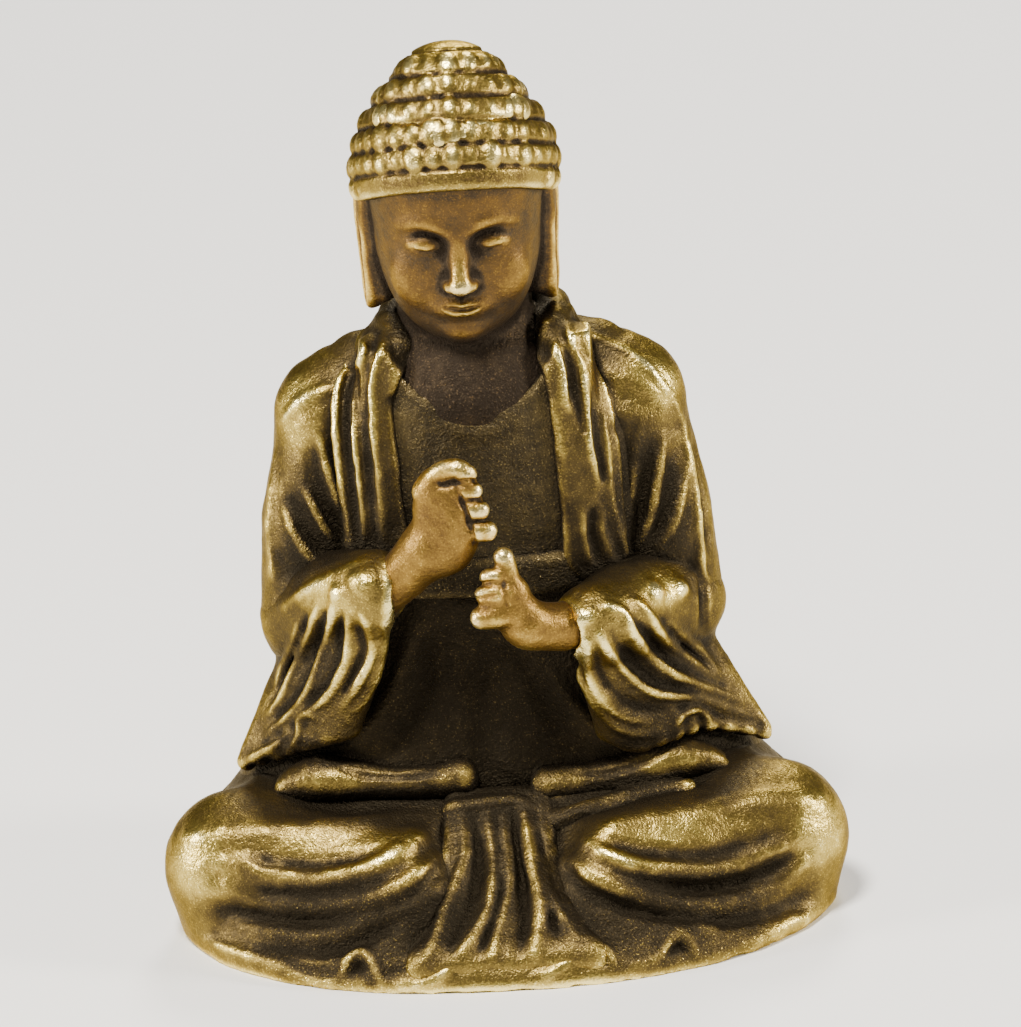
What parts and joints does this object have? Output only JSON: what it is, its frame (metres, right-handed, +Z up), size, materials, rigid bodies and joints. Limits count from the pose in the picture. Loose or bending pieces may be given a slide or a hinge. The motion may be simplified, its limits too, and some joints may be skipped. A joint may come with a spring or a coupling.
{
  "type": "buddha statue",
  "caption": "Small cast-brass robed Buddha seated cross-legged, with one hand held above the other in front of the chest.",
  "frame": {"origin": "centre of the footprint, on the surface that the figure stands on", "axes": "+Z up; the figure faces -Y; +X is the figure's own left side"},
  "size_m": [0.0332, 0.0224, 0.0444],
  "materials": {
    "robe_brass": "antiqued casting, worn bright on the crests and dark in the folds",
    "skin_brass": "smoother rubbed casting, warm golden brown",
    "dark_brass": "dark grained patina",
    "hair_brass": "polished curls with dark gaps",
    "raw_brass": "drawn wire, unpatinated"
  },
  "bodies": {
    "root": {"neck_pin": "raw_brass", "right_arm_dowel": "raw_brass", "left_arm_dowel": "raw_brass", "left_hand": "skin_brass", "right_hand": "skin_brass", "head_casting": "skin_brass", "topknot": "hair_brass", "hair_cap": "hair_brass", "torso_casting": "robe_brass", "base_plate": "dark_brass", "lap_casting": "robe_brass", "right_lapel": "robe_brass", "left_lapel": "robe_brass", "inner_robe": "dark_brass", "waist_sash": "dark_brass", "right_upper_arm": "robe_brass", "left_upper_arm": "robe_brass", "left_foot": "robe_brass", "right_foot": "robe_brass", "right_sleeve": "robe_brass", "left_sleeve": "robe_brass", "skirt_apron": "robe_brass"}
  },
  "joints": []
}
